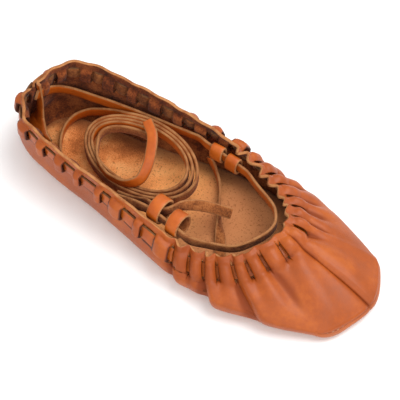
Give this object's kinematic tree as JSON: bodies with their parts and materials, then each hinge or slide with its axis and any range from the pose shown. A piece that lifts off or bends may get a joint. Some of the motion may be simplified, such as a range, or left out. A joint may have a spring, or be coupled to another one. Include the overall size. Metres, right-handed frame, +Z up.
{
  "type": "dance shoe",
  "caption": "Gathered moccasin-style leather dance shoe with a thonged collar, pleated front, seamed toe, lapped heel, lace keepers and a tie lace coiled inside.",
  "frame": {"origin": "on the floor under the middle of the shoe's length and width", "axes": "+X towards the toe, +Z up, so the side that faces the picture's camera is -Y"},
  "size_m": [0.2508, 0.1014, 0.0504],
  "materials": {
    "upper_leather": "smooth cognac leather with a soft gloss, raw tan flesh side inside",
    "insole_leather": "raw speckled tan leather, matt",
    "thong_leather": "smooth leather strip",
    "keeper_leather": "smooth leather band with a soft gloss",
    "lace_leather": "leather strip, smooth on one face and rough on the other, with pale cut edges"
  },
  "bodies": {
    "root": {"upper": "upper_leather", "insole": "insole_leather", "gathering_thong": "thong_leather", "keeper_near_rear": "keeper_leather", "keeper_near_front": "keeper_leather", "keeper_far_rear": "keeper_leather", "keeper_far_front": "keeper_leather", "tie_lace": "lace_leather", "lace_near_run": "lace_leather", "lace_coil": "lace_leather", "lace_arch_end": "lace_leather", "lace_free_end": "lace_leather", "lace_cross": "lace_leather"}
  },
  "joints": []
}
